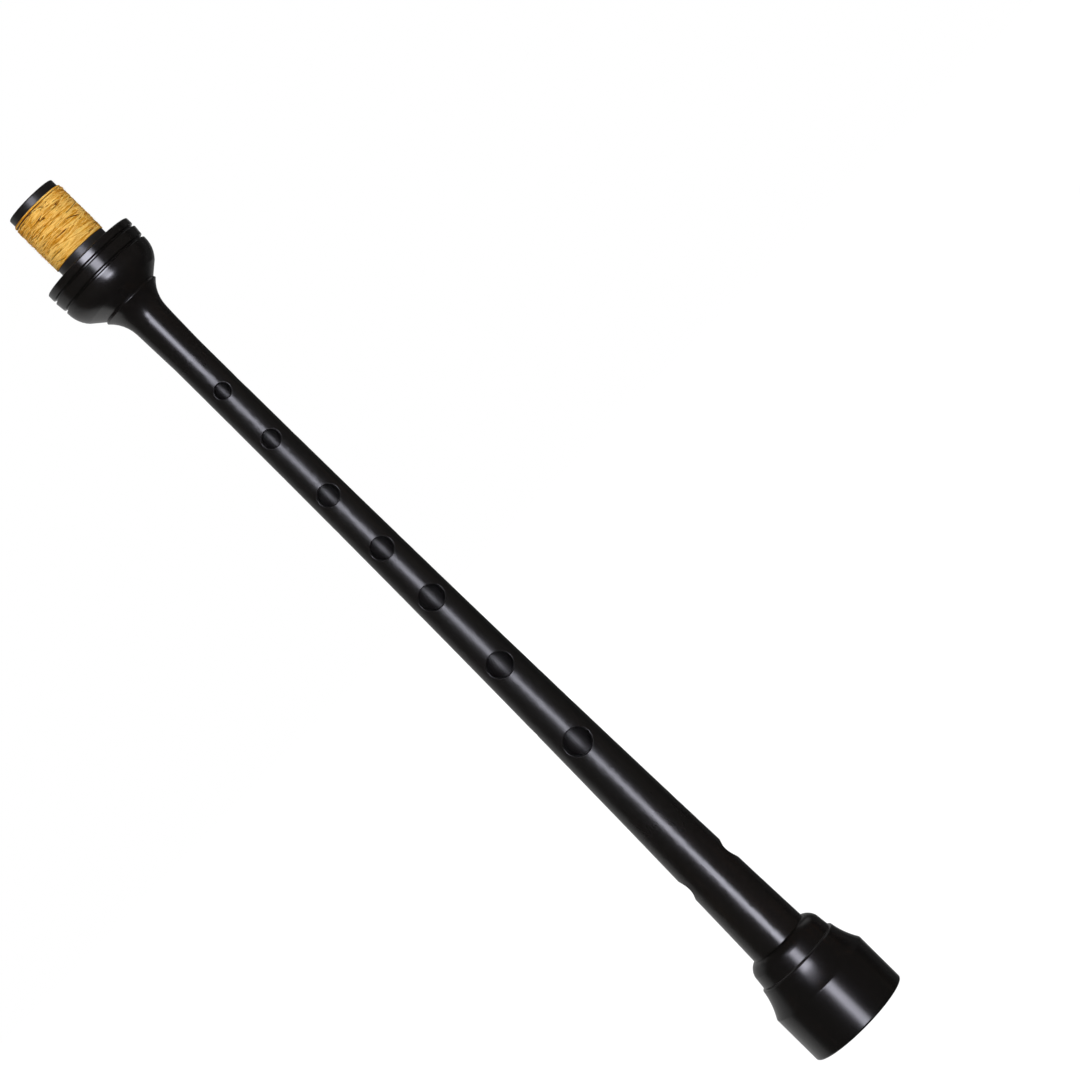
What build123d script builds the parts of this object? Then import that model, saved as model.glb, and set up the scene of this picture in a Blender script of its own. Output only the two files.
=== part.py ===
from build123d import *
import math
import os

# Bagpipe chanter, standing on its sole, in millimetres.
# The axis of the bore is Z, the sole's underside is at height 0, and the tenon is at the top.
# The seven finger holes face -Y, the thumb hole faces +Y, and the two sound holes face -X and +X.
# Heights are stacked from the sole up, so a size that grows lifts all that is above it.

# Sole, from its underside up
sole_radius = 18.75
sole_band_height = 18.3
sole_taper_height = 9.6
sole_groove_width = 0.6
sole_collar_height = 8.0
sole_foot_round = 0.7
sole_band_round = 0.5
sole_taper_top_radius = 15.3
sole_taper_hollow = 0.5
sole_groove_depth = 0.25
sole_lip_round = 0.3
sole_collar_radius = 14.5
sole_collar_round_height = 3.6
sole_collar_round_radius = 14.0
sole_collar_swell = 0.62
sole_top_land = 0.15
sole_mouth_radius = 12.2
sole_mouth_depth = 5.0
sole_mouth_hollow = 0.8

# Tenon at the foot of the stem, which holds the sole
foot_tenon_radius = 9.0
foot_tenon_length = 30.5
foot_tenon_fit = 0.08
foot_hemp_fit = 0.05
foot_hemp_bottom = 8.0
foot_hemp_length = 14.0
foot_hemp_thickness = 0.9
foot_tenon_chamfer = 0.4

# Stem, from the sole's top up to its waist, with two radii between, and then the neck
stem_foot_radius = 10.58
stem_lower_rise = 88.5
stem_lower_radius = 8.12
stem_upper_rise = 178.5
stem_upper_radius = 6.63
stem_length = 263.3
stem_waist_radius = 6.1
neck_length = 16.5
neck_radius = 6.56

# Flange under the bulb, at the top of a cove
cove_height = 8.85
flange_radius = 10.7
flange_round = 0.25
flange_lip = 0.75
flange_crease_radius = 10.4

# Bulb and its two rings
bulb_base_height = 3.4
bulb_base_radius = 14.45
bulb_arc_height = 6.9
bulb_swell = 0.72
bulb_radius = 17.2
bulb_rim_height = 1.1
groove_width = 1.15
groove_floor_width = 0.3
groove_depth = 0.9
lower_ring_height = 4.4
lower_ring_bottom_radius = 17.2
lower_ring_top_radius = 17.55
upper_ring_height = 3.1
upper_ring_radius = 17.45
ring_round = 0.22
shoulder_round = 0.45

# Tenon at the top, which goes into the stock
tenon_length = 25.2
tenon_base_radius = 9.63
tenon_base_length = 3.1
tenon_tip_radius = 9.28
tenon_tip_length = 2.7
tenon_tip_round = 0.45

# Hemp on the top tenon
winding_outer_radius = 10.08
thread_diameter = 0.86
thread_gap = 0.42
thread_bend_radius = 1.05
thread_wall_clearance = 0.08
thread_lay_clearance = 0.05
thread_notch_clearance = 0.15
thread_start_angle = 90.0

# Bore, from the top down
reed_seat_radius = 4.1
reed_seat_depth = 18.0
reed_seat_chamfer = 0.4
throat_cone_length = 8.0
throat_length = 4.0
throat_radius = 2.15
bore_foot_radius = 6.75

# Finger holes from the lowest to the highest, by how far they lie below the stem's waist, the
# thumb hole above the waist, and the two sound holes above the sole's top
finger_hole_drops = [172.8, 138.2, 107.9, 85.8, 62.1, 36.7, 15.3]
finger_hole_diameters = [9.3, 8.6, 8.4, 7.5, 7.1, 6.1, 5.3]
thumb_hole_rise = 2.7
thumb_hole_diameter = 5.2
sound_hole_rise = 31.6
sound_hole_diameter = 7.8
hole_round = 0.3

# Where the seams of turned faces lie, clear of every hole
seam_angle = 45.0

# Worked out from the sizes above
sole_groove_bottom = sole_band_height + sole_taper_height
sole_groove_top = sole_groove_bottom + sole_groove_width
sole_height = sole_groove_top + sole_collar_height
sole_bore_radius = foot_tenon_radius + foot_tenon_fit
foot_tenon_bottom = sole_height - foot_tenon_length
foot_hemp_radius = sole_bore_radius - foot_hemp_fit
foot_channel_radius = foot_tenon_radius - foot_hemp_thickness
foot_channel_bottom = foot_tenon_bottom + foot_hemp_bottom
foot_channel_top = foot_channel_bottom + foot_hemp_length
waist_height = sole_height + stem_length
neck_height = waist_height + neck_length
flange_height = neck_height + cove_height
crease_height = flange_height + flange_lip
bulb_base_top = crease_height + bulb_base_height
bulb_widest_height = bulb_base_top + bulb_arc_height
lower_groove_height = bulb_widest_height + bulb_rim_height
upper_groove_height = lower_groove_height + lower_ring_height
shoulder_height = upper_groove_height + upper_ring_height
overall_height = shoulder_height + tenon_length
channel_bottom = shoulder_height + tenon_base_length
channel_top = overall_height - tenon_tip_length
seat_bottom = overall_height - reed_seat_depth
throat_top = seat_bottom - throat_cone_length
throat_bottom = throat_top - throat_length
thread_radius = thread_diameter / 2
winding_radius = winding_outer_radius - thread_radius
core_radius = winding_radius - thread_radius - thread_lay_clearance
bend_turn = math.asin(thread_bend_radius / (winding_radius - thread_bend_radius))
bend_start_radius = (winding_radius - thread_bend_radius) * math.cos(bend_turn)
channel_radius = bend_start_radius - thread_diameter
winding_bottom = channel_bottom + thread_wall_clearance + thread_radius
winding_top = channel_top - thread_wall_clearance - thread_radius
winding_turns = int((winding_top - winding_bottom) / (thread_diameter + thread_gap))
winding_pitch = (winding_top - winding_bottom) / winding_turns
drill_reach = 2 * stem_foot_radius


def at(radius, height):
    """A point of an outline, by its distance from the axis and its height."""
    return Vector(radius, 0, height)


def bulged(start, end, swell):
    """An arc from start to end that stands off their chord by swell, to the right of the way."""
    middle = (start + end) / 2
    along = (end - start).normalized()
    aside = Vector(along.Z, 0, -along.X)
    return ThreePointArc(start, middle + aside * swell, end)


def turned(stretches, eased):
    """The solid turned from a closed outline, with some of its corners rounded first."""
    edges = [edge for stretch in stretches for edge in stretch.edges()]
    face = Face(Wire(edges))
    for corner, rounding in eased:
        vertex = face.vertices().sort_by_distance(corner)[0]
        face = face.fillet_2d(rounding, [vertex])
    return Rot(0, 0, seam_angle) * revolve(face, Axis.Z)


def v_groove(height, radius_above, radius_below):
    """The corners of a narrow groove cut square to the axis, from its top edge to its bottom edge."""
    floor = min(radius_above, radius_below) - groove_depth
    return [
        at(radius_above, height + groove_width / 2),
        at(floor, height + groove_floor_width / 2),
        at(floor, height - groove_floor_width / 2),
        at(radius_below, height - groove_width / 2),
    ]


def across(diameter, height, direction):
    """A drill of a diameter that reaches from the bore's axis out past the stem, in a direction."""
    plane = Plane(origin=(0, 0, height), z_dir=direction)
    return extrude(plane * Circle(diameter / 2), drill_reach)


def eased_rim(body, height, direction, diameter):
    """Rounds the outer rim of a drilled hole."""
    facing = Vector(direction)
    out = facing * stem_foot_radius + Vector(0, 0, height)
    reach = diameter / 2 + 2 * hole_round
    rims = [
        edge
        for edge in body.edges()
        if abs(edge.center(CenterOf.BOUNDING_BOX).Z - height) < reach
        and abs(edge.bounding_box().size.Z - diameter) < hole_round
        and edge.center(CenterOf.BOUNDING_BOX).dot(facing) > stem_waist_radius / 2
    ]
    rim = sorted(rims, key=lambda edge: (edge.center(CenterOf.BOUNDING_BOX) - out).length)[0]
    return fillet(rim, hole_round)


def stem_and_bulb():
    """The turned billet with its bore, before any hole is drilled across it."""
    lower_groove = v_groove(lower_groove_height, lower_ring_bottom_radius, bulb_radius)
    upper_groove = v_groove(upper_groove_height, upper_ring_radius, lower_ring_top_radius)
    widest = at(bulb_radius, bulb_widest_height)
    bulb_base = at(bulb_base_radius, bulb_base_top)
    crease = at(flange_crease_radius, crease_height)
    flange_tip = at(flange_radius, flange_height)
    neck = at(neck_radius, neck_height)
    waist = at(stem_waist_radius, waist_height)
    stem_upper = at(stem_upper_radius, sole_height + stem_upper_rise)
    stem_lower = at(stem_lower_radius, sole_height + stem_lower_rise)
    foot = at(stem_foot_radius, sole_height)
    shoulder_rim = at(upper_ring_radius, shoulder_height)
    tip_rim = at(tenon_tip_radius, overall_height)
    bore = Polyline(
        at(bore_foot_radius, foot_tenon_bottom),
        at(throat_radius, throat_bottom),
        at(throat_radius, throat_top),
        at(reed_seat_radius, seat_bottom),
        at(reed_seat_radius, overall_height - reed_seat_chamfer),
        at(reed_seat_radius + reed_seat_chamfer, overall_height),
    )
    top_tenon = Polyline(
        at(reed_seat_radius + reed_seat_chamfer, overall_height),
        tip_rim,
        at(tenon_tip_radius, channel_top),
        at(channel_radius, channel_top),
        at(channel_radius, channel_bottom),
        at(tenon_base_radius, channel_bottom),
        at(tenon_base_radius, shoulder_height),
        shoulder_rim,
    )
    rings = Polyline(shoulder_rim, *upper_groove, *lower_groove, widest)
    bulb = bulged(widest, bulb_base, -bulb_swell)
    flange = Polyline(bulb_base, crease, flange_tip)
    cove = bulged(flange_tip, neck, cove_swell())
    stem = [Line(neck, waist), Spline(waist, stem_upper, stem_lower, foot)]
    foot_tenon = Polyline(
        foot,
        at(foot_tenon_radius, sole_height),
        at(foot_tenon_radius, foot_channel_top),
        at(foot_channel_radius, foot_channel_top),
        at(foot_channel_radius, foot_channel_bottom),
        at(foot_tenon_radius, foot_channel_bottom),
        at(foot_tenon_radius, foot_tenon_bottom + foot_tenon_chamfer),
        at(foot_tenon_radius - foot_tenon_chamfer, foot_tenon_bottom),
        at(bore_foot_radius, foot_tenon_bottom),
    )
    eased = [
        (tip_rim, tenon_tip_round),
        (shoulder_rim, shoulder_round),
        (upper_groove[0], ring_round),
        (upper_groove[3], ring_round),
        (lower_groove[0], ring_round),
        (lower_groove[3], ring_round),
        (flange_tip, flange_round),
    ]
    return turned([bore, top_tenon, rings, bulb, flange, cove, *stem, foot_tenon], eased)


def cove_swell():
    """How far the cove under the flange stands off its chord, so that it runs on from the neck."""
    spread = flange_radius - neck_radius
    lean = math.atan2(neck_radius - stem_waist_radius, neck_length)
    half_turn = math.atan2(spread, cove_height) - lean
    return math.hypot(cove_height, spread) / 2 * math.tan(half_turn / 2)


def make_chanter_body():
    """The turned billet with its finger holes, thumb hole and sound holes."""
    front = (0, -1, 0)
    back = (0, 1, 0)
    left = (-1, 0, 0)
    right = (1, 0, 0)
    fingers = zip(finger_hole_drops, finger_hole_diameters)
    sound_hole_height = sole_height + sound_hole_rise
    drills = [(waist_height - drop, front, size) for drop, size in fingers]
    drills.append((waist_height + thumb_hole_rise, back, thumb_hole_diameter))
    drills += [(sound_hole_height, side, sound_hole_diameter) for side in (left, right)]
    body = stem_and_bulb()
    for height, direction, size in drills:
        body -= across(size, height, direction)
    for height, direction, size in drills:
        body = eased_rim(body, height, direction, size)
    return body


def make_sole():
    """The sole: a band, a hollow taper, a groove and a rounded collar, bored for the foot tenon."""
    round_start = at(sole_collar_round_radius, sole_height - sole_collar_round_height)
    top_rim = at(stem_foot_radius + sole_top_land, sole_height)
    taper_top = at(sole_taper_top_radius, sole_groove_bottom)
    band_top = at(sole_radius, sole_band_height)
    foot_rim = at(sole_radius, 0)
    mouth_top = at(sole_bore_radius, sole_mouth_depth)
    mouth_rim = at(sole_mouth_radius, 0)
    stretches = [
        Line(mouth_top, at(sole_bore_radius, sole_height)),
        Line(at(sole_bore_radius, sole_height), top_rim),
        bulged(top_rim, round_start, -sole_collar_swell),
        Polyline(
            round_start,
            at(sole_collar_radius, sole_groove_top),
            at(sole_collar_radius - sole_groove_depth, sole_groove_top - sole_groove_width / 2),
            taper_top,
        ),
        bulged(taper_top, band_top, sole_taper_hollow),
        Polyline(band_top, foot_rim, mouth_rim),
        bulged(mouth_rim, mouth_top, sole_mouth_hollow),
    ]
    eased = [
        (taper_top, sole_lip_round),
        (band_top, sole_band_round),
        (foot_rim, sole_foot_round),
    ]
    return turned(stretches, eased)


def make_foot_hemp():
    """The hemp in the foot tenon's channel, which grips the sole."""
    ring = Cylinder(foot_hemp_radius, foot_hemp_length) - Cylinder(foot_channel_radius, foot_hemp_length)
    return Pos(0, 0, foot_channel_bottom + foot_hemp_length / 2) * ring


def radial(angle):
    """The direction away from the axis at an angle, in radians."""
    return Vector(math.cos(angle), math.sin(angle), 0)


def thread_point(turn):
    """Where the thread's centre is, after a number of turns."""
    angle = math.radians(thread_start_angle) + 2 * math.pi * turn
    return radial(angle) * winding_radius + Vector(0, 0, winding_bottom + winding_pitch * turn)


def thread_way(turn):
    """The thread's direction after a number of turns."""
    angle = math.radians(thread_start_angle) + 2 * math.pi * turn
    around = radial(angle + math.pi / 2) * (2 * math.pi * winding_radius)
    return (around + Vector(0, 0, winding_pitch)).normalized()


def biarc(start, start_way, end, end_way):
    """Two arcs from start to end that leave and arrive along the given directions."""
    chord = end - start
    both = start_way + end_way
    apart = 2 * (1 - start_way.dot(end_way))
    along = chord.dot(both)
    reach = (math.sqrt(along**2 + apart * chord.dot(chord)) - along) / apart
    meeting = (start + end + (start_way - end_way) * reach) / 2
    meeting_way = end - end_way * reach - start - start_way * reach
    return [
        Edge.make_tangent_arc(start, start_way, meeting),
        Edge.make_tangent_arc(meeting, meeting_way, end),
    ]


def thread_ends():
    """Each end of the thread: the angle and height at which it goes straight into the channel."""
    start_angle = math.radians(thread_start_angle)
    end_angle = start_angle + 2 * math.pi * winding_turns
    return (start_angle - bend_turn, winding_bottom), (end_angle + bend_turn, winding_top)


def thread_path():
    """The thread's centre line: up out of the channel, round in half turns, and back into it."""
    (first_angle, first_height), (last_angle, last_height) = thread_ends()
    first_foot = radial(first_angle) * channel_radius + Vector(0, 0, first_height)
    last_foot = radial(last_angle) * channel_radius + Vector(0, 0, last_height)
    first_bend = first_foot + radial(first_angle) * thread_diameter
    last_bend = last_foot + radial(last_angle) * thread_diameter
    path = [Edge.make_line(first_foot, first_bend)]
    path += biarc(first_bend, radial(first_angle), thread_point(0), thread_way(0))
    for step in range(2 * winding_turns):
        begin = step / 2
        finish = begin + 0.5
        path += biarc(thread_point(begin), thread_way(begin), thread_point(finish), thread_way(finish))
    into = radial(last_angle) * -1
    path += biarc(thread_point(winding_turns), thread_way(winding_turns), last_bend, into)
    path.append(Edge.make_line(last_bend, last_foot))
    return path


def least_thread_gap(path):
    """The least distance between the surfaces of two turns, measured on points of the path."""
    points = [edge.position_at(share / 6) for edge in path for share in range(6)]
    half_turn = math.pi * winding_radius
    travelled = [0.0]
    for before, after in zip(points, points[1:]):
        travelled.append(travelled[-1] + (after - before).length)
    least = min(
        (far - near).length
        for index, near in enumerate(points)
        for other, far in enumerate(points[index + 1:], index + 1)
        if travelled[other] - travelled[index] > half_turn
    )
    return least - thread_diameter


def make_winding():
    """The outer hemp: one thread wound round the base layers, with its ends tucked into them."""
    path = thread_path()
    radii = [edge.radius for edge in path if edge.geom_type == GeomType.CIRCLE]
    print("winding turns", winding_turns, "least gap", round(least_thread_gap(path), 3))
    print("tightest bend", round(min(radii), 3), "thread diameter", thread_diameter)
    first_angle, first_height = thread_ends()[0]
    foot = radial(first_angle) * channel_radius + Vector(0, 0, first_height)
    section = Plane(origin=foot, z_dir=radial(first_angle)) * Circle(thread_radius)
    return sweep(section, path=Wire(path))


def thread_notch(angle, height, side):
    """The room that an end of the thread takes as it dips through the base layers."""
    low = -thread_radius - thread_notch_clearance
    high = thread_bend_radius
    tall = thread_diameter + 2 * thread_notch_clearance
    deep = winding_outer_radius - channel_radius
    block = Box(deep, high - low, tall)
    placed = Pos(channel_radius + deep / 2, side * (low + high) / 2, 0) * block
    return Pos(0, 0, height) * Rot(0, 0, math.degrees(angle)) * placed


def make_base_hemp():
    """The first layers of waxed hemp, which fill the channel under the thread."""
    length = channel_top - channel_bottom
    ring = Cylinder(core_radius, length) - Cylinder(channel_radius, length)
    layers = Pos(0, 0, (channel_bottom + channel_top) / 2) * ring
    first, last = thread_ends()
    return layers - thread_notch(*first, 1) - thread_notch(*last, -1)


def main():
    os.makedirs("parts", exist_ok=True)
    export_step(make_chanter_body(), "parts/chanter_body.step")
    export_step(make_sole(), "parts/sole.step")
    export_step(make_foot_hemp(), "parts/foot_tenon_hemp.step")
    export_step(make_base_hemp(), "parts/tenon_base_hemp.step")
    export_step(make_winding(), "parts/tenon_hemp_winding.step")


main()
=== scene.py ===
import math
import random

import bmesh
import bpy
from mathutils import Matrix, Vector, noise


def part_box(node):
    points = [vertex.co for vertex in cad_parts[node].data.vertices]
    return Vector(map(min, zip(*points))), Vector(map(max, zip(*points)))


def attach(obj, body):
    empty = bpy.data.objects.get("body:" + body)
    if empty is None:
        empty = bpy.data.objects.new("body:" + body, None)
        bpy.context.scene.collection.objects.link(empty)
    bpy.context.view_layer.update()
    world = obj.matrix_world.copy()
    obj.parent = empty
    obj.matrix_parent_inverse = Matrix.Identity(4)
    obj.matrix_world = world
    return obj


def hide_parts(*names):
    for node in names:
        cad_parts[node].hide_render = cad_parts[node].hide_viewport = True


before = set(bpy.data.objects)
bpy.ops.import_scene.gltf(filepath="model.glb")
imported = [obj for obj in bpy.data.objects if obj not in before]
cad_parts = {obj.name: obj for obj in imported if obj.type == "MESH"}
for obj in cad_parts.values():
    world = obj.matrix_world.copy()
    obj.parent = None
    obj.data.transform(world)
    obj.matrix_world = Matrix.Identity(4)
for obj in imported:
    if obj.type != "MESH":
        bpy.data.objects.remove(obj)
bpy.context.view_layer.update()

MM = 0.001

# Where the camera stands and what it looks at, in metres
CAMERA_PLACE = Vector((0.03697, -1.2, 0.228))
CAMERA_TARGET = Vector((0.03697, 0.0, 0.1801))
PICTURE_WIDTH_AT_TARGET = 0.3431
SENSOR_WIDTH_MM = 36.0
# The image direction of the bore's axis in the photograph, in pixels right and down, towards the sole
AXIS_RIGHT = 0.710854
AXIS_DOWN = 0.703340
# Hemp colours by tone, from painted shade between fibres, through the hemp's golden colours, to painted light
# on the fibres that face outwards
GOLDEN_HEMP = [
    (0.00, (0.13, 0.040, 0.001)),
    (0.20, (0.55, 0.195, 0.003)),
    (0.50, (0.74, 0.340, 0.020)),
    (0.88, (0.93, 0.62, 0.145)),
]
WAXED_HEMP = [(0.02, (0.05, 0.02, 0.006)), (0.30, (0.10, 0.045, 0.012)), (0.80, (0.19, 0.09, 0.03))]
FOOT_HEMP = [(0.02, (0.34, 0.14, 0.02)), (0.30, (0.52, 0.27, 0.06)), (0.80, (0.70, 0.45, 0.16))]
HEMP_SPECULAR = 0.2
HEMP_SHEEN_ROUGHNESS = 0.4
# The wood's colours
BODY_DARK, BODY_BROWN = (0.0050, 0.0044, 0.0039), (0.011, 0.0070, 0.0046)
SOLE_DARK, SOLE_BROWN = (0.0036, 0.0032, 0.0029), (0.010, 0.0060, 0.0040)
PORE_COLOUR = (0.0026, 0.0022, 0.0019)
# Pale dust and wax, which in the sole's groove is also painted light
DUST_AND_LIGHT_COLOUR = (0.060, 0.056, 0.052)
# The wood's roughness and its pale dust and wax by height in millimetres, where the sole's groove also gets
# painted light over its shade: hands dull the stem between its holes
BODY_POLISH = [
    (37, 0.21), (70, 0.22), (130, 0.31), (250, 0.33), (285, 0.31), (303, 0.22), (320, 0.20),
    (334.5, 0.19), (336.5, 0.14), (344.6, 0.13), (345.0, 0.36), (348.0, 0.36), (367.0, 0.33), (370.0, 0.34),
]
BODY_DUST = [(344.6, 0.0), (345.0, 0.17), (348.0, 0.17), (367.0, 0.05)]
SOLE_POLISH = [(0, 0.20), (37, 0.21)]
# The sole's groove: pale dust, and painted light that lifts the shade inside the groove
SOLE_GROOVE_DUST_AND_LIGHT = [(27.9, 0.0), (28.1, 0.5), (28.3, 0.5), (28.5, 0.0)]
SMUDGE_ROUGHNESS = 0.045
HOLE_WALL_ROUGHNESS = 0.46
WOOD_IOR = 1.5
# The radius by height, in millimetres, where the walls of the holes end and the polished outside begins
SKIN = [(0.0, 8.3), (36.5, 8.8), (60.0, 8.0), (125.0, 6.9), (215.0, 5.7), (290.0, 5.2), (400.0, 5.2)]
SKIN_TOP = 400
SKIN_WIDEST = 20
# How strands are drawn: steps in a turn, the painted light and shade on their flanks, and the painted shade
# over the whole strand
STEPS_PER_TURN = 72
FLANK_LIGHT_AND_SHADE = 0.22
STRAND_SHADE = 0.08
# The plain studio: part of the floor glows to the camera, and the rest is paper that takes the shadow
FLOOR_RADIUS = 6.0
FLOOR_PAPER = (0.9, 0.9, 0.9, 1.0)
FLOOR_GLOW = 1.22
FLOOR_GLOW_SHARE = 0.80
WORLD_FILL = 0.46
TENT_RADIUS = 3.0
TENT_COLOUR = (1.08, 1.0, 0.88)
WHITE = (1.0, 1.0, 1.0)


def node_tree(material):
    """A material's own nodes, emptied, with a Principled BSDF on its output."""
    material.use_nodes = True
    tree = material.node_tree
    tree.nodes.clear()
    output = tree.nodes.new("ShaderNodeOutputMaterial")
    shader = tree.nodes.new("ShaderNodeBsdfPrincipled")
    tree.links.new(shader.outputs["BSDF"], output.inputs["Surface"])
    return tree, shader


def stretched_coordinates(tree, across, along):
    """Object coordinates scaled by across in X and Y and by along in Z, per metre."""
    place = tree.nodes.new("ShaderNodeTexCoord")
    scale = tree.nodes.new("ShaderNodeMapping")
    scale.inputs["Scale"].default_value = (across, across, along)
    tree.links.new(place.outputs["Object"], scale.inputs["Vector"])
    return scale.outputs["Vector"]


def noise_value(tree, across, along, detail=3.0, roughness=0.55, distortion=0.0):
    """A noise value from 0 to 1 over stretched object coordinates."""
    texture = tree.nodes.new("ShaderNodeTexNoise")
    texture.inputs["Scale"].default_value = 1.0
    texture.inputs["Detail"].default_value = detail
    texture.inputs["Roughness"].default_value = roughness
    texture.inputs["Distortion"].default_value = distortion
    tree.links.new(stretched_coordinates(tree, across, along), texture.inputs["Vector"])
    return texture.outputs["Fac"]


def ramp(tree, value, stops):
    """Colours along a value, as (position, colour) stops."""
    node = tree.nodes.new("ShaderNodeValToRGB")
    elements = node.color_ramp.elements
    while len(elements) < len(stops):
        elements.new(0.5)
    for element, (position, colour) in zip(elements, stops):
        element.position = position
        element.color = (*colour, 1.0)
    tree.links.new(value, node.inputs["Fac"])
    return node.outputs["Color"]


def grey(value):
    return (value, value, value)


def mixed(tree, factor, first, second, blend="MIX"):
    """Two colours mixed by a factor, which is a number or a socket."""
    node = tree.nodes.new("ShaderNodeMix")
    node.data_type = "RGBA"
    node.blend_type = blend
    if isinstance(factor, float):
        node.inputs["Factor"].default_value = factor
    else:
        tree.links.new(factor, node.inputs["Factor"])
    for socket, colour in ((node.inputs[6], first), (node.inputs[7], second)):
        if isinstance(colour, tuple):
            socket.default_value = (*colour, 1.0)
        else:
            tree.links.new(colour, socket)
    return node.outputs[2]


def bump(tree, height, strength, distance, normal=None):
    """A normal bumped by a height, over another normal where one is given."""
    node = tree.nodes.new("ShaderNodeBump")
    node.inputs["Strength"].default_value = strength
    node.inputs["Distance"].default_value = distance
    tree.links.new(height, node.inputs["Height"])
    if normal is not None:
        tree.links.new(normal, node.inputs["Normal"])
    return node.outputs["Normal"]


def height_ramp(tree, stops):
    """A grey that follows the height, as (millimetres, value) stops."""
    place = tree.nodes.new("ShaderNodeTexCoord")
    split = tree.nodes.new("ShaderNodeSeparateXYZ")
    tree.links.new(place.outputs["Object"], split.inputs["Vector"])
    share = tree.nodes.new("ShaderNodeMapRange")
    low, high = stops[0][0], stops[-1][0]
    share.inputs["From Min"].default_value = low * MM
    share.inputs["From Max"].default_value = high * MM
    tree.links.new(split.outputs["Z"], share.inputs["Value"])
    shares = [((level - low) / (high - low), grey(value)) for level, value in stops]
    return ramp(tree, share.outputs["Result"], shares)


def inside_mask(tree):
    """1 on the walls of the bore and of the holes, 0 on the polished outside of the stem."""
    place = tree.nodes.new("ShaderNodeTexCoord")
    split = tree.nodes.new("ShaderNodeSeparateXYZ")
    tree.links.new(place.outputs["Object"], split.inputs["Vector"])
    flat = tree.nodes.new("ShaderNodeCombineXYZ")
    tree.links.new(split.outputs["X"], flat.inputs["X"])
    tree.links.new(split.outputs["Y"], flat.inputs["Y"])
    radius = tree.nodes.new("ShaderNodeVectorMath")
    radius.operation = "LENGTH"
    tree.links.new(flat.outputs["Vector"], radius.inputs[0])
    height = tree.nodes.new("ShaderNodeMapRange")
    height.inputs["From Min"].default_value = 0.0
    height.inputs["From Max"].default_value = SKIN_TOP * MM
    tree.links.new(split.outputs["Z"], height.inputs["Value"])
    skin = tree.nodes.new("ShaderNodeFloatCurve")
    curve = skin.mapping.curves[0]
    for point, (level, wall) in zip(curve.points, (SKIN[0], SKIN[-1])):
        point.location = (level / SKIN_TOP, wall / SKIN_WIDEST)
    for level, wall in SKIN[1:-1]:
        curve.points.new(level / SKIN_TOP, wall / SKIN_WIDEST)
    for point in curve.points:
        point.handle_type = "VECTOR"
    skin.mapping.update()
    tree.links.new(height.outputs["Result"], skin.inputs["Value"])
    depth = tree.nodes.new("ShaderNodeMath")
    depth.operation = "MULTIPLY_ADD"
    depth.inputs[1].default_value = SKIN_WIDEST * MM
    tree.links.new(skin.outputs["Value"], depth.inputs[0])
    minus = tree.nodes.new("ShaderNodeMath")
    minus.operation = "MULTIPLY"
    minus.inputs[1].default_value = -1.0
    tree.links.new(radius.outputs["Value"], minus.inputs[0])
    tree.links.new(minus.outputs[0], depth.inputs[2])
    mask = tree.nodes.new("ShaderNodeMapRange")
    mask.inputs["From Min"].default_value = -0.0002
    mask.inputs["From Max"].default_value = 0.0004
    tree.links.new(depth.outputs[0], mask.inputs["Value"])
    return mask.outputs["Result"]


def blackwood(name, dark, brown, polish, dust_and_light):
    """Oiled blackwood: near-black, with faint brown streaks along the grain and tiny pores.

    polish is its roughness by height, and the last table the share of pale dust and wax by height, which in
    the sole's groove is also painted light over the groove's shade."""
    material = bpy.data.materials.new(name)
    tree, shader = node_tree(material)
    streaks = noise_value(tree, 1100.0, 35.0, detail=2.0, roughness=0.5, distortion=0.2)
    patches = noise_value(tree, 110.0, 9.0, detail=2.0)
    pores = noise_value(tree, 4200.0, 380.0, detail=1.0, roughness=0.5)
    turning = noise_value(tree, 2.0, 7000.0, detail=1.0)
    smudges = noise_value(tree, 190.0, 60.0, detail=4.0, roughness=0.6)
    streak_mask = ramp(tree, streaks, [(0.46, grey(0.0)), (0.75, grey(1.0))])
    patch_mask = ramp(tree, patches, [(0.42, grey(0.0)), (0.68, grey(1.0))])
    brown_share = mixed(tree, 1.0, streak_mask, patch_mask, "MULTIPLY")
    wood = mixed(tree, brown_share, dark, brown)
    pore_mask = ramp(tree, pores, [(0.30, grey(1.0)), (0.40, grey(0.0))])
    bare = mixed(tree, pore_mask, wood, PORE_COLOUR)
    # Pale dust and wax by height, which in the sole's groove is also painted light over the groove's shade
    colour = mixed(tree, height_ramp(tree, dust_and_light), bare, DUST_AND_LIGHT_COLOUR)
    tree.links.new(colour, shader.inputs["Base Color"])
    handled = ramp(tree, smudges, [(0.30, grey(0.0)), (0.72, grey(SMUDGE_ROUGHNESS))])
    outside = mixed(tree, 1.0, height_ramp(tree, polish), handled, "ADD")
    rough = mixed(tree, inside_mask(tree), outside, grey(HOLE_WALL_ROUGHNESS))
    tree.links.new(rough, shader.inputs["Roughness"])
    grain_bump = bump(tree, streaks, 0.008, 0.00005)
    pore_bump = bump(tree, pore_mask, 0.05, -0.00002, grain_bump)
    lathe_bump = bump(tree, turning, 0.015, 0.00002, pore_bump)
    tree.links.new(lathe_bump, shader.inputs["Normal"])
    shader.inputs["IOR"].default_value = WOOD_IOR
    return material


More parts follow.
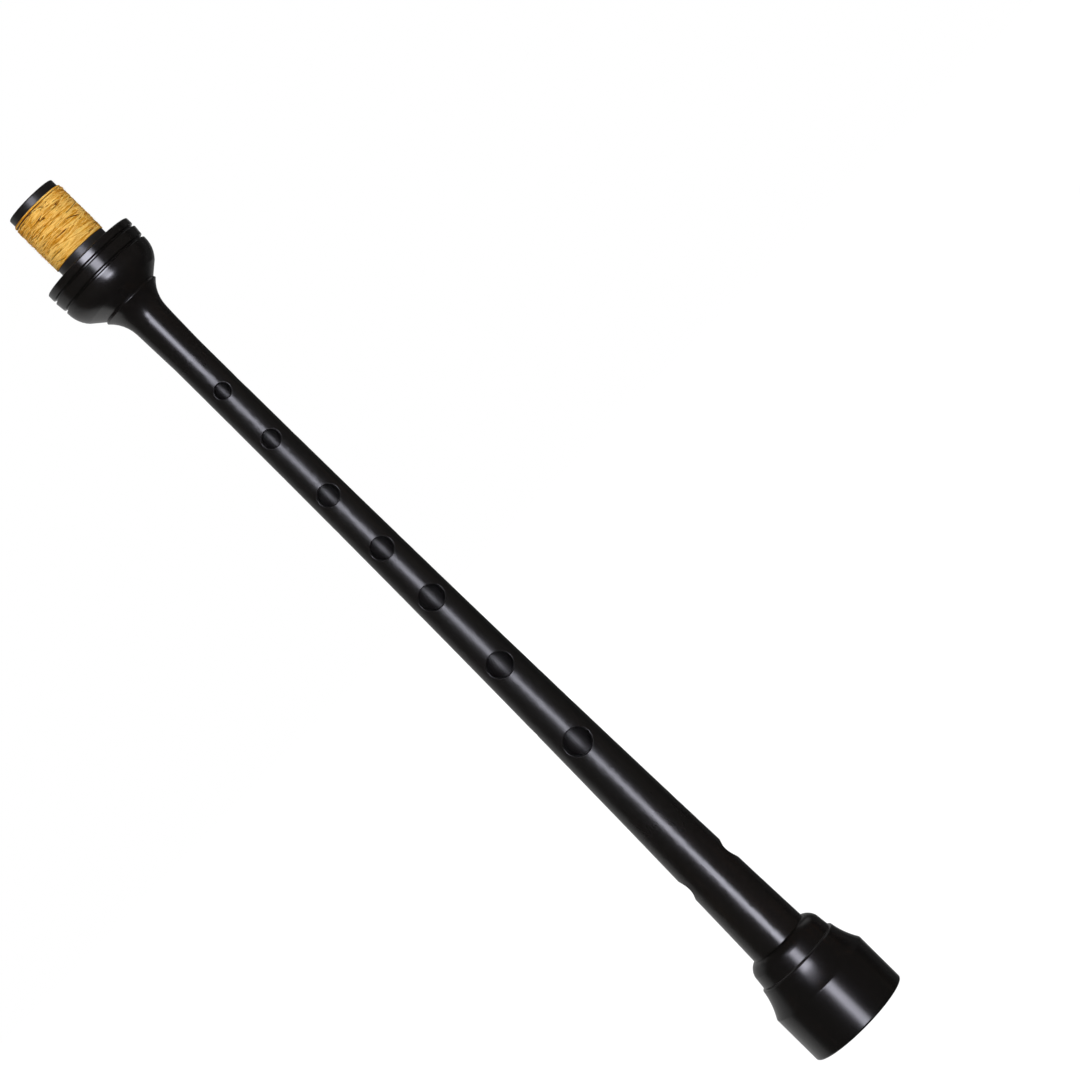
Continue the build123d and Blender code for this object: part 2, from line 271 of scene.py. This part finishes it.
def hemp(name, stops, sheen):
    """Hemp fibre: each strand's tone, which in the golden winding carries painted light and shade, and a
    patchy one added up, with fine filaments over them.
    """
    material = bpy.data.materials.new(name)
    tree, shader = node_tree(material)
    tone = tree.nodes.new("ShaderNodeAttribute")
    tone.attribute_name = "tone"
    patches = noise_value(tree, 260.0, 420.0, detail=4.0, roughness=0.65)
    filaments = noise_value(tree, 420.0, 9000.0, detail=3.0, roughness=0.6)
    patchy = tree.nodes.new("ShaderNodeMath")
    patchy.operation = "MULTIPLY_ADD"
    patchy.inputs[1].default_value = 1.10
    patchy.inputs[2].default_value = -0.55
    tree.links.new(patches, patchy.inputs[0])
    added = tree.nodes.new("ShaderNodeMath")
    added.operation = "ADD"
    tree.links.new(patchy.outputs[0], added.inputs[0])
    tree.links.new(tone.outputs["Fac"], added.inputs[1])
    fibre = ramp(tree, added.outputs[0], stops)
    dark_lines = ramp(tree, filaments, [(0.30, grey(0.50)), (0.50, grey(1.0))])
    colour = mixed(tree, 0.7, fibre, dark_lines, "MULTIPLY")
    tree.links.new(colour, shader.inputs["Base Color"])
    rough = ramp(tree, filaments, [(0.3, grey(0.75)), (0.7, grey(0.5))])
    tree.links.new(rough, shader.inputs["Roughness"])
    tree.links.new(bump(tree, filaments, 0.5, 0.00008), shader.inputs["Normal"])
    shader.inputs["Sheen Weight"].default_value = sheen
    shader.inputs["Sheen Roughness"].default_value = HEMP_SHEEN_ROUGHNESS
    shader.inputs["Specular IOR Level"].default_value = HEMP_SPECULAR
    return material


def mesh_piece(name, vertices, faces, tones, material, body, slot):
    """A mesh object that rides on a CAD body, with a tone for each vertex."""
    mesh = bpy.data.meshes.new(name)
    mesh.from_pydata(vertices, [], faces)
    mesh.validate()
    attribute = mesh.attributes.new("tone", "FLOAT", "POINT")
    attribute.data.foreach_set("value", tones)
    mesh.shade_smooth()
    mesh.materials.append(material)
    piece = bpy.data.objects.new(name, mesh)
    bpy.context.scene.collection.objects.link(piece)
    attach(piece, body)
    return piece


class StrandMesh:
    """Vertices, faces and tones of many thin strands in one mesh."""

    def __init__(self):
        self.vertices = []
        self.faces = []
        self.tones = []

    def add(self, points, outs, ways, widths, heights, tones, sides=6):
        """A closed strand of elliptical section along points: outs point away from the axis."""
        first = len(self.vertices)
        for point, out, way, width, height, tone in zip(points, outs, ways, widths, heights, tones):
            aside = way.cross(out).normalized()
            for side in range(sides):
                angle = 2 * math.pi * side / sides
                offset = out * (math.sin(angle) * height) + aside * (math.cos(angle) * width)
                self.vertices.append(point + offset)
                # Painted light and shade: a strand's outward side is paler, its inward side darker, and the
                # whole strand a little darker
                self.tones.append(tone + FLANK_LIGHT_AND_SHADE * math.sin(angle) - STRAND_SHADE)
        for ring in range(len(points) - 1):
            start = first + ring * sides
            for side in range(sides):
                following = (side + 1) % sides
                above = start + sides
                self.faces.append((start + side, start + following, above + following, above + side))
        self.faces.append(tuple(first + side for side in reversed(range(sides))))
        last = first + (len(points) - 1) * sides
        self.faces.append(tuple(last + side for side in range(sides)))


def eased(value):
    """0 below 0, 1 above 1, and a smooth rise between."""
    value = min(max(value, 0.0), 1.0)
    return value * value * (3 - 2 * value)


def wander(seed, travel):
    """A smooth value from -1 to 1 that changes along travel."""
    return noise.noise(Vector((travel, seed * 17.3, seed * 5.1)))


def ways_along(points):
    """The direction of a strand at each of its points."""
    last = len(points) - 1
    return [(points[min(i + 1, last)] - points[max(i - 1, 0)]).normalized() for i in range(last + 1)]


def yarn_turns(
    strands, seed, radius, low, high, turns, plies, ply, tones, sway, falling=False, top=None
):
    """A loosely twisted yarn of several plies, wound between two heights with an uneven lay.

    ply is a ply's thickness, sway how far the lay wanders in millimetres, and top a ceiling by angle."""
    rng = random.Random(seed)
    steps = int(turns * STEPS_PER_TURN)
    start_angle = rng.uniform(0, 2 * math.pi)
    half_width = 0.5 * ply * plies * 0.72
    for index in range(plies):
        phase = 2 * math.pi * index / plies + rng.uniform(-0.4, 0.4)
        base_tone = rng.uniform(*tones)
        points, outs, widths, heights, shades = [], [], [], [], []
        for step in range(steps + 1):
            share = step / steps
            angle = start_angle + 2 * math.pi * turns * share
            level = high + (low - high) * share if falling else low + (high - low) * share
            slow = wander(seed, angle * 0.45) * sway * MM
            quick = wander(seed + 13.0, angle * 1.5) * 0.5 * sway * MM
            twist = phase + angle * 1.7 + 2.6 * wander(seed + 5.0, angle * 0.6)
            fan = 1.0 + 0.5 * wander(seed + 51.0, angle * 0.8)
            own = wander(seed + 3.7 * (index + 1), angle * 1.9) * 0.7 * ply
            height = level + slow + quick + math.cos(twist) * half_width * fan + own
            ceiling = high if top is None else min(high, top(angle))
            height = min(max(height, low), ceiling)
            lift = math.sin(twist) * 0.5 * ply
            lift += 0.07 * MM * wander(seed + 9.1 * (index + 1), angle * 2.1)
            out = Vector((math.cos(angle), math.sin(angle), 0.0))
            points.append(out * (radius + lift) + Vector((0, 0, height)))
            outs.append(out)
            size = 1.0 + 0.40 * wander(seed + 23.0 * (index + 1), angle * 2.6)
            widths.append(ply * 0.52 * size)
            heights.append(ply * 0.42 * size)
            patch = 0.42 * wander(seed + 31.0 * (index + 1), angle * 1.4)
            # Painted light and shade by depth: a ply lifted off the core is paler, and one that sinks is
            # darker
            shades.append(base_tone + patch + 0.9 * lift / MM)
        strands.add(points, outs, ways_along(points), widths, heights, shades)


def stray_fibres(strands, seed, count, radius, low, high):
    """Short loose fibres that lift a little off the winding."""
    rng = random.Random(seed)
    steps = 8
    for _ in range(count):
        angle = rng.uniform(0, 2 * math.pi)
        height = rng.uniform(low, high)
        reach = rng.uniform(0.15, 0.55) * rng.choice((-1, 1))
        climb = rng.uniform(-1.2, 1.2) * MM
        lift = rng.uniform(0.08, 0.34) * MM
        points, outs = [], []
        for step in range(steps + 1):
            share = step / steps
            turn = angle + reach * share
            out = Vector((math.cos(turn), math.sin(turn), 0.0))
            away = radius + lift * math.sin(math.pi * share * 0.62)
            points.append(out * away + Vector((0, 0, height + climb * share * share)))
            outs.append(out)
        thin = [rng.uniform(0.022, 0.040) * MM] * (steps + 1)
        tones = [rng.uniform(0.5, 1.1)] * (steps + 1)
        strands.add(points, outs, ways_along(points), thin, thin, tones, sides=4)


def matted_fibres(strands, seed, count, radius, low, high, top, spans, slants, tones, sizes):
    """Fine fibres pressed into the yarn, each part of a turn with a slant and a tone of its own.

    spans are in radians, slants is their spread in millimetres, tones are a mean and a spread, and
    sizes are half widths in millimetres."""
    rng = random.Random(seed)
    for fibre in range(count):
        start = rng.uniform(0, 2 * math.pi)
        reach = rng.uniform(*spans)
        level = rng.uniform(low - 0.6 * MM, high + 0.6 * MM)
        slant = rng.gauss(0.0, slants) * MM
        depth = rng.uniform(-0.20, 0.06) * MM
        half_width = rng.uniform(*sizes) * MM
        tone = rng.gauss(*tones)
        steps = max(int(reach * 12), 8)
        points, outs, widths, heights, shades = [], [], [], [], []
        for step in range(steps + 1):
            share = step / steps
            angle = start + reach * share
            sway = wander(fibre * 0.71 + seed, angle * 1.3) * 0.65 * MM
            height = min(max(level + slant * (share - 0.5) + sway, low), min(high, top(angle)))
            tuck = 0.30 * MM * (1 - eased(min(share, 1 - share) * 5))
            out = Vector((math.cos(angle), math.sin(angle), 0.0))
            points.append(out * (radius + depth - tuck) + Vector((0, 0, height)))
            outs.append(out)
            thick = 0.55 + 0.45 * eased(min(share, 1 - share) * 6)
            widths.append(half_width * thick)
            heights.append(0.09 * MM * thick)
            shades.append(tone + 0.25 * wander(fibre * 1.3 + seed, angle * 2.0))
        strands.add(points, outs, ways_along(points), widths, heights, shades, sides=5)


def golden_winding(low, high, outer):
    """The yarn round the top tenon: an under-layer toned dark as painted shade, uneven turns, matted and
    crossing fibres, dark fibres as painted shade in the gaps, loose ends.
    """
    strands = StrandMesh()
    floor = low + 0.32 * MM
    ceiling = high - 1.1 * MM
    dark, mixed_tones, bright = (0.10, 0.30), (0.15, 0.75), (0.35, 0.95)

    def body_top(angle):
        """The turns end just under the top turn, with a gap that opens from +X round the front to -X."""
        opening = 0.5 - 0.5 * math.cos(min((-angle) % (2 * math.pi), 1.35 * math.pi) / 1.35)
        return high - (1.06 + 0.80 * opening) * MM

    def yarn(seed, depth, turns, plies, ply, tones, sway, falling=False):
        """Turns of yarn whose middle lies depth below the outside, all in millimetres."""
        place = (outer - depth * MM, floor, ceiling)
        yarn_turns(strands, seed, *place, turns, plies, ply * MM, tones, sway, falling, body_top)

    def fibres(seed, count, depth, spans, slants, tones, sizes):
        """Matted fibres at a depth below the outside, in millimetres."""
        place = (outer - depth * MM, floor, ceiling, body_top)
        matted_fibres(strands, seed, count, *place, spans, slants, tones, sizes)

    # The under-layer: dark tones as painted shade, seen in the gaps between the upper turns
    yarn(11, depth=0.74, turns=22.0, plies=5, ply=0.36, tones=dark, sway=0.2)
    yarn(23, depth=0.48, turns=21.0, plies=4, ply=0.37, tones=mixed_tones, sway=0.5)
    fibres(61, 560, depth=0.27, spans=(0.5, 2.6), slants=0.9, tones=(0.42, 0.28), sizes=(0.09, 0.20))
    yarn(29, depth=0.34, turns=8.0, plies=3, ply=0.24, tones=bright, sway=1.6, falling=True)
    yarn(37, depth=0.28, turns=4.0, plies=3, ply=0.22, tones=bright, sway=2.8)
    fibres(67, 400, depth=0.15, spans=(0.4, 1.8), slants=2.2, tones=(0.53, 0.36), sizes=(0.08, 0.18))
    # Short dark fibres on top: painted shade standing for the dark gaps between turns
    fibres(71, 22, depth=0.12, spans=(0.25, 0.65), slants=0.6, tones=(0.10, 0.07), sizes=(0.15, 0.24))
    top_turn = (outer - 0.42 * MM, high - 0.66 * MM, high - 0.34 * MM)
    yarn_turns(strands, 41, *top_turn, turns=1.1, plies=4, ply=0.30 * MM, tones=mixed_tones, sway=0.1)
    stray_fibres(strands, 59, 260, outer - 0.12 * MM, floor, high - 1.4 * MM)
    return strands


def ridged_ring(inner, outer, low, high, pitch, seed):
    """A ring of packed turns: a closed ring whose outside has uneven helical ridges."""
    around = 180
    rows = max(int((high - low) / (pitch / 8)), 8)
    vertices, faces, tones = [], [], []

    def join(first, second, step, after):
        """A face between two rings of vertices, given by their first ones."""
        faces.append((first + step, first + after, second + after, second + step))

    for row in range(rows + 1):
        share = row / rows
        height = low + (high - low) * share
        for step in range(around):
            angle = 2 * math.pi * step / around
            phase = (height - low) / pitch - step / around
            lane = math.floor(phase)
            ridge = math.sqrt(abs(math.sin(math.pi * phase)))
            uneven = 0.5 + 0.5 * wander(seed + lane * 0.37, angle * 1.5)
            if row in (0, rows):
                away = outer - pitch * 0.5
            else:
                away = outer - pitch * (0.32 * (1 - ridge) + 0.16 * uneven)
            vertices.append(Vector((math.cos(angle) * away, math.sin(angle) * away, height)))
            tones.append(0.5 + 0.5 * wander(seed + 7.7 + lane * 0.61, angle * 0.8))
    first_inner = len(vertices)
    for height in (low, high):
        for step in range(around):
            angle = 2 * math.pi * step / around
            vertices.append(Vector((math.cos(angle) * inner, math.sin(angle) * inner, height)))
            tones.append(0.5)
    second_inner = first_inner + around
    for step in range(around):
        after = (step + 1) % around
        for row in range(rows):
            join(row * around, (row + 1) * around, step, after)
        join(rows * around, second_inner, step, after)
        join(first_inner, 0, step, after)
        join(second_inner, first_inner, step, after)
    return vertices, faces, tones


def channel_ring(box, wall, pitch, seed):
    """A ring of packed turns in a CAD ring's box, kept a hair off the walls of its channel."""
    low, high = box
    gap = 0.03 * MM
    return ridged_ring(high.x - wall, high.x, low.z + gap, high.z - gap, pitch, seed)


def make_hemp():
    """The three hemp pieces, each in the space of its CAD solid."""
    golden = hemp("golden_hemp", GOLDEN_HEMP, sheen=0.0)
    waxed = hemp("waxed_hemp", WAXED_HEMP, sheen=0.05)
    foot_yarn = hemp("foot_hemp", FOOT_HEMP, sheen=0.10)
    low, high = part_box("tenon_hemp_winding")
    base_low, base_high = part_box("tenon_base_hemp")
    strands = golden_winding(base_low.z, base_high.z, high.x)
    parts = (strands.vertices, strands.faces, strands.tones)
    winding = mesh_piece("golden_hemp_winding", *parts, golden, "chanter", "hemp_thread")
    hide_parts("tenon_hemp_winding")
    ring = channel_ring((base_low, base_high), wall=1.2 * MM, pitch=0.62 * MM, seed=3)
    base = mesh_piece("waxed_base_hemp", *ring, waxed, "chanter", "waxed_hemp")
    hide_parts("tenon_base_hemp")
    ring = channel_ring(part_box("foot_tenon_hemp"), wall=0.8 * MM, pitch=0.72 * MM, seed=8)
    foot = mesh_piece("foot_tenon_yarn", *ring, foot_yarn, "chanter", "waxed_hemp")
    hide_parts("foot_tenon_hemp")


def dress_wood():
    """The wooden CAD nodes keep their shape and get their finish."""
    body_wood = blackwood("chanter_blackwood", BODY_DARK, BODY_BROWN, BODY_POLISH, BODY_DUST)
    sole_wood = blackwood("sole_wood", SOLE_DARK, SOLE_BROWN, SOLE_POLISH, SOLE_GROOVE_DUST_AND_LIGHT)
    for node, material in (("chanter_body", body_wood), ("sole", sole_wood)):
        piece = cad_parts[node]
        piece.data.materials.clear()
        piece.data.materials.append(material)


def light_mix(tree, first_shader, second_shader, factor):
    """Two shaders mixed by a factor."""
    mix = tree.nodes.new("ShaderNodeMixShader")
    tree.links.new(factor, mix.inputs["Fac"])
    tree.links.new(first_shader, mix.inputs[1])
    tree.links.new(second_shader, mix.inputs[2])
    return mix.outputs["Shader"]


def make_world(fill_strength):
    """White where the camera, gloss and glass look, and a soft grey fill for everything else."""
    world = bpy.data.worlds.new("studio")
    bpy.context.scene.world = world
    world.use_nodes = True
    tree = world.node_tree
    tree.nodes.clear()
    output = tree.nodes.new("ShaderNodeOutputWorld")
    path = tree.nodes.new("ShaderNodeLightPath")
    fill = tree.nodes.new("ShaderNodeBackground")
    fill.inputs["Strength"].default_value = fill_strength
    white = tree.nodes.new("ShaderNodeBackground")
    white.inputs["Strength"].default_value = 1.0
    for node in (fill, white):
        node.inputs["Color"].default_value = (1.0, 1.0, 1.0, 1.0)
    seen = path.outputs["Is Camera Ray"]
    for kind in ("Is Glossy Ray", "Is Transmission Ray"):
        either = tree.nodes.new("ShaderNodeMath")
        either.operation = "MAXIMUM"
        tree.links.new(seen, either.inputs[0])
        tree.links.new(path.outputs[kind], either.inputs[1])
        seen = either.outputs[0]
    surface = light_mix(tree, fill.outputs[0], white.outputs[0], seen)
    tree.links.new(surface, output.inputs["Surface"])


def make_floor():
    """A plain white floor that keeps a faint shadow."""
    mesh = bpy.data.meshes.new("floor")
    shape = bmesh.new()
    bmesh.ops.create_circle(shape, cap_ends=True, segments=96, radius=FLOOR_RADIUS)
    shape.to_mesh(mesh)
    shape.free()
    floor = bpy.data.objects.new("floor", mesh)
    bpy.context.scene.collection.objects.link(floor)
    material = bpy.data.materials.new("floor_paper")
    material.use_nodes = True
    tree = material.node_tree
    tree.nodes.clear()
    output = tree.nodes.new("ShaderNodeOutputMaterial")
    paper = tree.nodes.new("ShaderNodeBsdfDiffuse")
    paper.inputs["Color"].default_value = FLOOR_PAPER
    glow = tree.nodes.new("ShaderNodeEmission")
    glow.inputs["Strength"].default_value = FLOOR_GLOW
    path = tree.nodes.new("ShaderNodeLightPath")
    share = tree.nodes.new("ShaderNodeMath")
    share.operation = "MULTIPLY"
    share.inputs[1].default_value = FLOOR_GLOW_SHARE
    tree.links.new(path.outputs["Is Camera Ray"], share.inputs[0])
    surface = light_mix(tree, paper.outputs[0], glow.outputs[0], share.outputs[0])
    tree.links.new(surface, output.inputs["Surface"])
    mesh.materials.append(material)
    floor.visible_glossy = False
    floor.visible_shadow = False


def glow_material(name, colour):
    """A surface that glows by its mesh's glow attribute."""
    material = bpy.data.materials.new(name)
    material.use_nodes = True
    tree = material.node_tree
    tree.nodes.clear()
    output = tree.nodes.new("ShaderNodeOutputMaterial")
    light = tree.nodes.new("ShaderNodeEmission")
    light.inputs["Color"].default_value = (*colour, 1.0)
    attribute = tree.nodes.new("ShaderNodeAttribute")
    attribute.attribute_name = "glow"
    tree.links.new(attribute.outputs["Fac"], light.inputs["Strength"])
    tree.links.new(light.outputs[0], output.inputs["Surface"])
    return material


def emitter(name, vertices, faces, glows, colour):
    """A glowing studio surface that the camera does not see and that casts no shadow."""
    mesh = bpy.data.meshes.new(name)
    mesh.from_pydata(vertices, [], faces)
    mesh.attributes.new("glow", "FLOAT", "POINT").data.foreach_set("value", glows)
    mesh.materials.append(glow_material(name, colour))
    lamp = bpy.data.objects.new(name, mesh)
    bpy.context.scene.collection.objects.link(lamp)
    lamp.visible_camera = False
    lamp.visible_shadow = False
    return lamp


def make_tent():
    """Dark studio walls that only reflections see, darker below: the wood stays black by its highlights."""
    shape = bmesh.new()
    bmesh.ops.create_uvsphere(shape, u_segments=48, v_segments=32, radius=TENT_RADIUS)
    bmesh.ops.reverse_faces(shape, faces=shape.faces)
    vertices = [tuple(vertex.co) for vertex in shape.verts]
    shape.verts.index_update()
    faces = [tuple(vertex.index for vertex in face.verts) for face in shape.faces]
    shape.free()
    glows = [0.012 + 0.050 * eased((place[2] / TENT_RADIUS + 0.85) / 0.75) for place in vertices]
    tent = emitter("studio_tent", vertices, faces, glows, TENT_COLOUR)
    tent.visible_diffuse = False
    tent.visible_transmission = False
    tent.visible_volume_scatter = False


def between(table, place):
    """The value at a place, on straight lines between (place, value) pairs in rising order."""
    if place <= table[0][0]:
        return table[0][1]
    for (before, first), (after, second) in zip(table, table[1:]):
        if place <= after:
            return first + (second - first) * (place - before) / (after - before)
    return table[-1][1]


def glowing_wall(name, distance, levels, sides, lean=0.0, widths=((0.0, 1.0),), colour=WHITE):
    """A soft box round part of the studio, which leans by lean degrees a metre.

    levels is its glow by height in metres and sides by azimuth in degrees, where the camera is at 0.
    widths scales the azimuths about their middle, by height."""
    columns, rows = 72, 60
    middle = (sides[0][0] + sides[-1][0]) / 2
    vertices, faces, glows = [], [], []
    for row in range(rows + 1):
        height = levels[0][0] + (levels[-1][0] - levels[0][0]) * row / rows
        for column in range(columns + 1):
            azimuth = sides[0][0] + (sides[-1][0] - sides[0][0]) * column / columns
            turn = math.radians(middle + (azimuth - middle) * between(widths, height) + lean * height)
            vertices.append((distance * math.sin(turn), -distance * math.cos(turn), height))
            glows.append(between(levels, height) * between(sides, azimuth))
    for row in range(rows):
        for column in range(columns):
            corner = row * (columns + 1) + column
            faces.append((corner, corner + 1, corner + columns + 2, corner + columns + 1))
    emitter(name, vertices, faces, glows, colour)


def make_lights():
    """The key light by the camera, pale walls on the left and high at the back, and a strip behind."""
    key_levels = [
        (-1.2, 0.0), (-0.9, 0.8), (-0.6, 1.6), (-0.46, 3.0), (-0.40, 10.0), (-0.365, 19.0), (-0.32, 20.0),
        (-0.25, 18.0), (-0.19, 15.0), (-0.095, 13.5), (0.0, 10.5), (0.12, 9.6), (0.30, 10.0), (0.41, 13.0),
        (0.50, 20.0), (0.57, 19.0), (0.66, 5.5), (0.78, 3.4), (0.95, 2.6), (1.05, 1.9), (1.6, 0.7), (1.9, 0.0),
    ]
    key_sides = [(-10.5, 0.0), (-7.5, 0.18), (-4.5, 0.62), (-1.5, 0.96), (5.0, 1.0)]
    key_sides += [(10.0 - azimuth, glow) for azimuth, glow in reversed(key_sides[:-1])]
    key_widths = [(-0.40, 0.78), (0.0, 0.92), (0.3, 1.0), (0.5, 1.35)]
    key_colour = (0.90, 0.90, 1.03)
    glowing_wall("key_box", 2.0, key_levels, key_sides, lean=-7.0, widths=key_widths, colour=key_colour)
    wall_levels = [(-4.5, 0.0), (-3.5, 0.85), (-1.0, 0.8), (0.1, 0.46), (1.3, 0.42), (1.9, 0.0)]
    wall_sides = [(-215.0, 0.0), (-172.0, 0.85), (-130.0, 1.0), (-114.0, 0.9), (-103.0, 0.72)]
    wall_sides += [(-97.0, 0.35), (-95.0, 0.0)]
    glowing_wall("left_wall", 1.8, wall_levels, wall_sides)
    back_levels = [(-1.5, 0.0), (-1.0, 0.06), (0.7, 0.06), (1.2, 0.5), (2.6, 0.5), (3.4, 0.0)]
    back_sides = [(105.0, 0.0), (130.0, 1.0), (230.0, 1.0), (255.0, 0.0)]
    glowing_wall("back_wall", 1.9, back_levels, back_sides)
    strip_levels = [(-1.4, 0.0), (-1.0, 3.0), (-0.2, 5.0), (0.6, 5.0), (1.3, 2.5), (1.9, 0.0)]
    strip_sides = [(171.0, 0.0), (177.0, 0.9), (185.0, 0.9), (191.0, 0.0)]
    glowing_wall("back_strip", 1.85, strip_levels, strip_sides)


def make_camera():
    """The camera at the photograph's angle, rolled so that the bore runs from upper left to lower right."""
    data = bpy.data.cameras.new("camera")
    data.sensor_width = SENSOR_WIDTH_MM
    data.sensor_fit = "HORIZONTAL"
    forward = (CAMERA_TARGET - CAMERA_PLACE).normalized()
    distance = (CAMERA_TARGET - CAMERA_PLACE).length
    data.lens = SENSOR_WIDTH_MM * distance / PICTURE_WIDTH_AT_TARGET
    data.clip_start = 0.01
    data.clip_end = 100.0
    level = Vector((1.0, 0.0, 0.0))
    upright = level.cross(forward)
    right = level * AXIS_DOWN - upright * AXIS_RIGHT
    up = level * AXIS_RIGHT + upright * AXIS_DOWN
    turn = Matrix((right, up, -forward)).transposed()
    camera = bpy.data.objects.new("camera", data)
    bpy.context.scene.collection.objects.link(camera)
    camera.rotation_mode = "QUATERNION"
    camera.location = CAMERA_PLACE
    camera.rotation_quaternion = turn.to_quaternion()
    bpy.context.scene.camera = camera


make_camera()
dress_wood()
make_hemp()
make_world(WORLD_FILL)
make_floor()
make_tent()
make_lights()
bpy.context.scene.view_settings.view_transform = "Standard"
